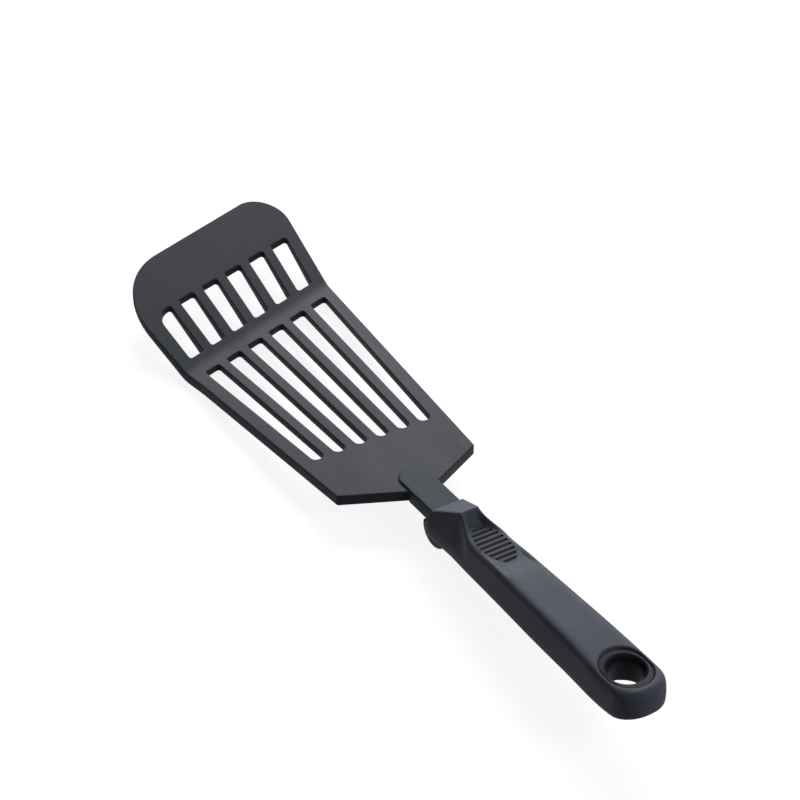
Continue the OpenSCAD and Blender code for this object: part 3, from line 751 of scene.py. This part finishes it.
# the grip: a rounded nose, rows of sections as far as the eyelet, and the rear with the eyelet's
# hole through it, whose lips are quarter rounds
def buildGrip():
    g = gripSize
    around = np.arange(g["around"] + 1) / g["around"] * 2 * np.pi
    points, faces = [], []

    # keeps a block of points and returns the first one's number
    def add(block):
        first = sum(map(len, points))
        points.append(block.reshape(-1, 3))
        return first

    # the front leans back above noseTiltLow: y0 solves y0 = front - tilt * (height at y0 - low)
    front = np.full(len(around), g["frontY"])
    for _ in range(12):
        height = gripPoint(front, around)[:, 2]
        front = g["frontY"] - g["noseTilt"] * np.maximum(height - g["noseTiltLow"], 0)

    # y moved back by the front's lean, which fades over noseTiltLength
    def leaningBack(y):
        y = np.asarray(y, float)[..., None]
        return y + (front - g["frontY"]) * (1 - smooth((g["frontY"] - y) / g["noseTiltLength"]))

    # the closed front: a flat face with a quarter round to the sides
    rounds = np.linspace(0, np.pi / 2, 6)
    noseY = g["frontY"] - g["noseRound"] * (1 - np.cos(rounds[1:]))
    noseIn = g["noseRound"] * (1 - np.sin(rounds[1:]))
    face = gripPoint(front, around, g["noseRound"])
    centre = face.mean(0)
    nose = [np.broadcast_to(centre, face.shape), mix(centre, face, 0.9), face]
    nose += [gripPoint(leaningBack(y), around, i) for y, i in zip(noseY, noseIn)]
    # the body in rows, close together round the crest and the scoop
    joinY = holeY + eyeletSize["length"] / 2 + g["joinGap"]
    fineEnd = padY - padSize["length"] / 2 - g["scoopFade"]
    fine = np.arange(noseY[-1] - g["fineStep"], fineEnd, -g["fineStep"])
    coarse = np.linspace(fineEnd, joinY, math.ceil((fineEnd - joinY) / g["coarseStep"]))
    bodyY = np.concatenate([fine, coarse])
    body = gripPoint(leaningBack(bodyY), around[None, :])
    # under the thumb pad the skin drops into a well that holds it
    share = np.hypot(body[..., 0] * 2 / padSize["width"],
                     (body[..., 1] - padY) * 2 / padSize["length"])
    onTop = (np.sin(around) > 0)[None, :]
    inWell = smooth((g["wellEdge"] - share) / g["wellSlope"])
    body[..., 2] -= np.where(onTop, padSize["well"] * inWell, 0)
    rows = np.concatenate([np.stack(nose), body])
    first = add(rows)
    faces += gridFaces(len(rows), len(around), first)

    # the rear, with the eyelet's hole: rows and the hole's rings are filled in the plane of
    # angle and y, then placed on the surface
    turns = np.linspace(0, np.pi / 2, g["endRows"])
    endY = gripEndY + g["endLength"]
    rearRows = math.ceil((joinY - endY) / g["rearStep"]) + 1
    rearY = np.concatenate([np.linspace(joinY, endY, rearRows),
                            endY - g["endLength"] * np.sin(turns[1:])])
    rear = gripPoint(rearY[:, None], around[None, :])
    gridStart = add(rear)
    unroll = g["unroll"]
    plan = np.stack(np.broadcast_arrays(around[None, :] * unroll, rearY[:, None]), -1)
    plans = [plan.reshape(-1, 2)]
    number = gridStart + np.arange(rear[..., 0].size).reshape(rear.shape[:2])
    border = np.concatenate([number[0, :-1], number[:-1, -1], number[-1, :0:-1], number[:0:-1, 0]])
    loops, walls = [border], []
    lip, count = g["lipRound"], eyeletSize["around"]
    for side in (1, -1):
        rings = []
        for out, sink in [(lip + g["lipMargin"], 0), (lip + g["lipShelf"], 0),
                          *zip(lip * (1 - np.sin(quarter)), lip * (1 - np.cos(quarter)))]:
            loop = eyeletLoop(out, count)
            a = gripAngle(loop[:, 0], loop[:, 1], side)
            ring = gripPoint(loop[:, 1], a)
            ring[:, 2] -= side * sink
            first = add(ring)
            plans.append(np.column_stack([a * unroll, loop[:, 1]]))
            rings.append(np.arange(first, first + count))
        for a, b in zip(rings, rings[1:]):
            faces += np.stack([a, np.roll(a, -1), np.roll(b, -1), b], 1).tolist()
        loops.append(rings[0])
        walls.append(rings[-1])
    a, b = walls
    faces += np.stack([a, np.roll(a, -1), np.roll(b, -1), b], 1).tolist()

    # rows' points inside the hole or close to it are left out
    x, y = rear[..., 0], rear[..., 1]
    straight = (eyeletSize["length"] - eyeletSize["width"]) / 2
    fromHole = np.hypot(x, np.maximum(np.abs(y - holeY) - straight, 0)) - eyeletSize["width"] / 2
    inner = np.zeros(x.shape, bool)
    inner[1:-1, 1:-1] = True
    spare = number[inner & (fromHole > lip + g["lipClear"])]
    allPlan = np.zeros((sum(map(len, points)), 2))
    allPlan[gridStart:] = np.concatenate(plans)
    faces += fillFaces(allPlan, loops, spare)
    return makePiece("softGrip", np.concatenate(points), faces, materials["grip"],
                     "grip_sleeve")


buildGrip()


# the thumb pad: rows across an oval, its top on the scoop's floor; grooves are cut where the
# distance to a groove's middle is under half its width and x is inside an egg
def buildPad():
    p = padSize
    rowsY = np.linspace(-1, 1, math.ceil(p["length"] / p["step"])) * p["length"] / 2
    halfX = p["width"] / 2 * np.sqrt(np.maximum(1 - (2 * rowsY / p["length"]) ** 2, 0))
    u = np.linspace(-1, 1, p["across"])
    x = halfX[:, None] * u[None, :]
    y = np.broadcast_to(rowsY[:, None], x.shape)
    surface = mix(topAt(x, padY + y), p["height"], scoopShare(x, padY + y)) + p["proud"]
    k = np.clip(np.round(y / p["groovePitch"]), -(p["grooves"] // 2), p["grooves"] // 2)
    off = np.abs(y - k * p["groovePitch"])
    egg = 1 - ((k * p["groovePitch"] + p["eggBack"]) / (p["length"] / 2 + p["eggExtra"])) ** 2
    reach = (p["width"] / 2 - p["grooveMargin"]) * np.sqrt(np.maximum(egg, 0))
    wall = p["grooveWall"]
    cut = smooth((p["grooveWidth"] / 2 + wall / 2 - off) / wall)
    cut = cut * smooth((reach + wall - np.abs(x)) / (2 * wall))
    top = np.stack([x, padY + y, surface - p["grooveDepth"] * cut], -1)
    under = top[:, ::-1].copy()
    under[..., 2] = p["height"] - p["thickness"]
    section = np.concatenate([top, under], 1)
    faces = gridFaces(*section.shape[:2], closedColumns=True)
    return makePiece("thumbPad", section.reshape(-1, 3), faces, materials["pad"],
                     "thumb_pad")


# height of the grip's skin, without the scoop, above a place in plan
def topAt(x, y):
    n = gripSquareness(y, True)
    lean = 1 - gripLean(y)
    across = np.clip(np.abs(x) / (gripHalf(y) * endScale(y) * lean), 0, 0.9999)
    upward = (1 - across ** n) ** (1 / n)
    top, low = gripTop(y), gripLow(y)
    return (top + low) / 2 + (top - low) / 2 * endRise(y, 1) * upward


buildPad()

footSize = {
    "radius": 7.1, "width": 13.4, "drop": 3.1, "ahead": 2.6, "rim": 1.3, "flat": 0.25,
    "clear": 1.2, "softness": 0.22, "face": 0.97, "around": 128,
}


# the foot: a round bar across the grip with quarter-round rims; its upper part is flattened
# below the stem, and what would reach under the worktop is cut flat
def buildFoot():
    f = footSize
    middleY = gripSize["frontY"] - f["radius"] + f["ahead"]
    middleZ = -gripSize["frontDepth"] - f["drop"] + f["radius"] - f["flat"]
    topZ = -headSize["thickness"] - stemSize["drop"] - f["clear"]
    q = np.linspace(0, np.pi / 2, 9)
    half, rim = f["width"] / 2, f["rim"]
    x = np.concatenate([[half, half], half - rim * (1 - np.cos(q[1:]))])
    r = np.concatenate([[0, (f["radius"] - rim) * f["face"]],
                        f["radius"] - rim * (1 - np.sin(q[1:]))])
    x, r = np.concatenate([-x, x[::-1]]), np.concatenate([r, r[::-1]])
    a = np.arange(f["around"]) / f["around"] * 2 * np.pi
    y = middleY + r[:, None] * np.cos(a)
    z = middleZ + r[:, None] * np.sin(a)
    z = z - f["softness"] * np.log1p(np.exp(np.clip((z - topZ) / f["softness"], -40, 40)))
    points = np.stack([np.broadcast_to(x[:, None], y.shape), y, z], -1)
    faces = gridFaces(*points.shape[:2], closedColumns=True)
    return makePiece("restFoot", points.reshape(-1, 3), faces, materials["foot"],
                     "rest_foot", floorAt=0.0)


buildFoot()


# the eyelet: a closed profile of top face, flared mouth, bore, underside and outer wall, carried
# round the hole; outside it follows the oval, inside the circle
def buildEyelet():
    e = eyeletSize
    count, mouth, edge, low = e["around"], e["mouth"], e["edgeRound"], e["lowRound"]
    a = np.arange(count) / count * 2 * np.pi
    ray = np.column_stack([np.cos(a), np.sin(a)])
    outer = eyeletLoop(-e["gap"], count) - [0, holeY]
    reach = np.linalg.norm(outer, axis=1)

    # points at a radius round the hole
    def ring(radius, z):
        plan = ray * np.broadcast_to(radius, reach.shape)[:, None] + [0, holeY]
        return np.column_stack([plan, np.broadcast_to(z, reach.shape)])

    # the grip's top at a radius, less the sink
    def face(radius):
        plan = ring(radius, 0)
        return topAt(plan[:, 0], plan[:, 1]) - e["sink"]

    inner = e["holeRadius"]
    rings = [ring(reach - edge * (1 - np.cos(q)), face(reach) - edge * (1 - np.sin(q)))
             for q in quarter]
    rings += [ring(mix(reach - edge, inner + mouth, t), face(mix(reach - edge, inner + mouth, t)))
              for t in np.linspace(0.15, 1, 5)]
    mouthTop = face(inner + mouth)
    rings += [ring(inner + mouth * (1 - np.sin(q)), mouthTop - e["mouthDepth"] * (1 - np.cos(q)))
              for q in np.linspace(0, np.pi / 2, 12)[1:]]
    rings += [ring(inner + low * (1 - np.cos(q)), eyeletLow + low * (1 - np.sin(q)))
              for q in quarter]
    rings += [ring(inner + low + e["lowEdge"], eyeletLow), ring(reach - e["lowEdge"], eyeletLow),
              ring(reach, eyeletLow + e["lowEdge"])]
    faces = gridFaces(len(rings), count, closedRows=True, closedColumns=True)
    return makePiece("hangingEyelet", np.concatenate(rings), faces, materials["eyelet"],
                     "hanging_eyelet")


buildEyelet()

# the two hidden pieces keep their solids
for node, material in (("grip_core", "core"), ("tang_pins", "pins")):
    mesh = frame["nodes"][node].data
    mesh.materials.clear()
    mesh.materials.append(materials[material])
print("pieces built")

# the camera stands off along the line through the pixel that shows the head's own zero
cameraView = {"lens": 85.5, "sensor": 36.0, "turn": 32.1, "down": 34.8, "distance": 709.0,
              "zeroPixel": (407, 470), "frame": 800, "near": 0.01, "far": 50}
turn, down = math.radians(cameraView["turn"]), math.radians(cameraView["down"])
level = np.array([math.sin(turn), math.cos(turn), 0])
lookAlong = level * math.cos(down) - np.array([0, 0, math.sin(down)])
upward = level * math.sin(down) + np.array([0, 0, math.cos(down)])
rightward = np.array([math.cos(turn), -math.sin(turn), 0])
focal = cameraView["lens"] / cameraView["sensor"] * cameraView["frame"]
middle = cameraView["frame"] / 2
toZero = (lookAlong + (cameraView["zeroPixel"][0] - middle) / focal * rightward
          + (middle - cameraView["zeroPixel"][1]) / focal * upward)
cameraData = bpy.data.cameras.new("camera")
cameraData.lens = cameraView["lens"]
cameraData.sensor_width = cameraView["sensor"]
cameraData.clip_start, cameraData.clip_end = cameraView["near"], cameraView["far"]
camera = bpy.data.objects.new("camera", cameraData)
bpy.context.scene.collection.objects.link(camera)
axes = headTurn @ np.column_stack([rightward, upward, -lookAlong])
camera.matrix_world = (Matrix.Translation(toWorktop(-toZero * cameraView["distance"]))
                       @ Matrix(axes.tolist()).to_4x4())
bpy.context.scene.camera = camera

lightView = {
    "floorRadius": 4.0, "floorDrop": 0.0001, "floorCorners": 96,
    "floorGlow": 0.89, "floorPale": 0.29, "floorBounce": 0.1,
    "worldFill": 0.07, "aim": (0, 0.05, 0),
    "top": {"place": (1.4, 2.1, 1.35), "size": 1.6, "power": 81.0},
    "side": {"place": (0.3, -0.36, 0.34), "size": 0.22, "power": 0.75},
}


# 1 for camera, glossy and transmission rays, 0 for light that spreads by diffuse bounces
def seenRay(tree):
    ray = tree.nodes.new("ShaderNodeLightPath")
    last = ray.outputs["Is Camera Ray"]
    for name in ("Is Glossy Ray", "Is Transmission Ray"):
        both = tree.nodes.new("ShaderNodeMath")
        both.operation = "MAXIMUM"
        tree.links.new(last, both.inputs[0])
        tree.links.new(ray.outputs[name], both.inputs[1])
        last = both.outputs[0]
    return last


# the world: white where it is seen, a weak even fill where it lights
def makeWorld():
    world = bpy.data.worlds.new("studio")
    bpy.context.scene.world = world
    world.use_nodes = True
    tree = world.node_tree
    tree.nodes.clear()
    seen, fill = tree.nodes.new("ShaderNodeBackground"), tree.nodes.new("ShaderNodeBackground")
    seen.inputs["Color"].default_value = (1, 1, 1, 1)
    fill.inputs["Color"].default_value = (1, 1, 1, 1)
    fill.inputs["Strength"].default_value = lightView["worldFill"]
    choose, out = tree.nodes.new("ShaderNodeMixShader"), tree.nodes.new("ShaderNodeOutputWorld")
    tree.links.new(seenRay(tree), choose.inputs[0])
    tree.links.new(fill.outputs[0], choose.inputs[1])
    tree.links.new(seen.outputs[0], choose.inputs[2])
    tree.links.new(choose.outputs[0], out.inputs["Surface"])


# a pale floor: what is seen glows a little and takes the tool's shadow, what bounces is darker
def makeFloor():
    material = bpy.data.materials.new("paleFloor")
    material.use_nodes = True
    tree = material.node_tree
    tree.nodes.clear()
    glow, pale = tree.nodes.new("ShaderNodeEmission"), tree.nodes.new("ShaderNodeBsdfDiffuse")
    glow.inputs["Strength"].default_value = lightView["floorGlow"]
    pale.inputs["Color"].default_value = (*[lightView["floorPale"]] * 3, 1)
    bounce = tree.nodes.new("ShaderNodeBsdfDiffuse")
    bounce.inputs["Color"].default_value = (*[lightView["floorBounce"]] * 3, 1)
    both, choose = tree.nodes.new("ShaderNodeAddShader"), tree.nodes.new("ShaderNodeMixShader")
    out = tree.nodes.new("ShaderNodeOutputMaterial")
    tree.links.new(glow.outputs[0], both.inputs[0])
    tree.links.new(pale.outputs[0], both.inputs[1])
    tree.links.new(seenRay(tree), choose.inputs[0])
    tree.links.new(bounce.outputs[0], choose.inputs[1])
    tree.links.new(both.outputs[0], choose.inputs[2])
    tree.links.new(choose.outputs[0], out.inputs["Surface"])
    radius, corners = lightView["floorRadius"], lightView["floorCorners"]
    a = np.arange(corners) / corners * 2 * np.pi
    low = np.full(corners, -lightView["floorDrop"])
    rim = np.column_stack([radius * np.cos(a), radius * np.sin(a), low])
    mesh = bpy.data.meshes.new("floor")
    mesh.from_pydata(rim.tolist(), [], [list(range(corners))])
    mesh.materials.append(material)
    floor = bpy.data.objects.new("floor", mesh)
    bpy.context.scene.collection.objects.link(floor)


# a square lamp that faces the tool
def makeLamp(name):
    look = lightView[name]
    data = bpy.data.lights.new(name + "Lamp", "AREA")
    data.shape = "SQUARE"
    data.size = look["size"]
    data.energy = look["power"]
    lamp = bpy.data.objects.new(name + "Lamp", data)
    bpy.context.scene.collection.objects.link(lamp)
    lamp.location = look["place"]
    aim = Vector(lightView["aim"]) - Vector(look["place"])
    lamp.rotation_euler = aim.to_track_quat("-Z", "Y").to_euler()


makeWorld()
makeFloor()
makeLamp("top")
makeLamp("side")
bpy.context.scene.view_settings.view_transform = "Standard"
print("camera, floor and lamps set")
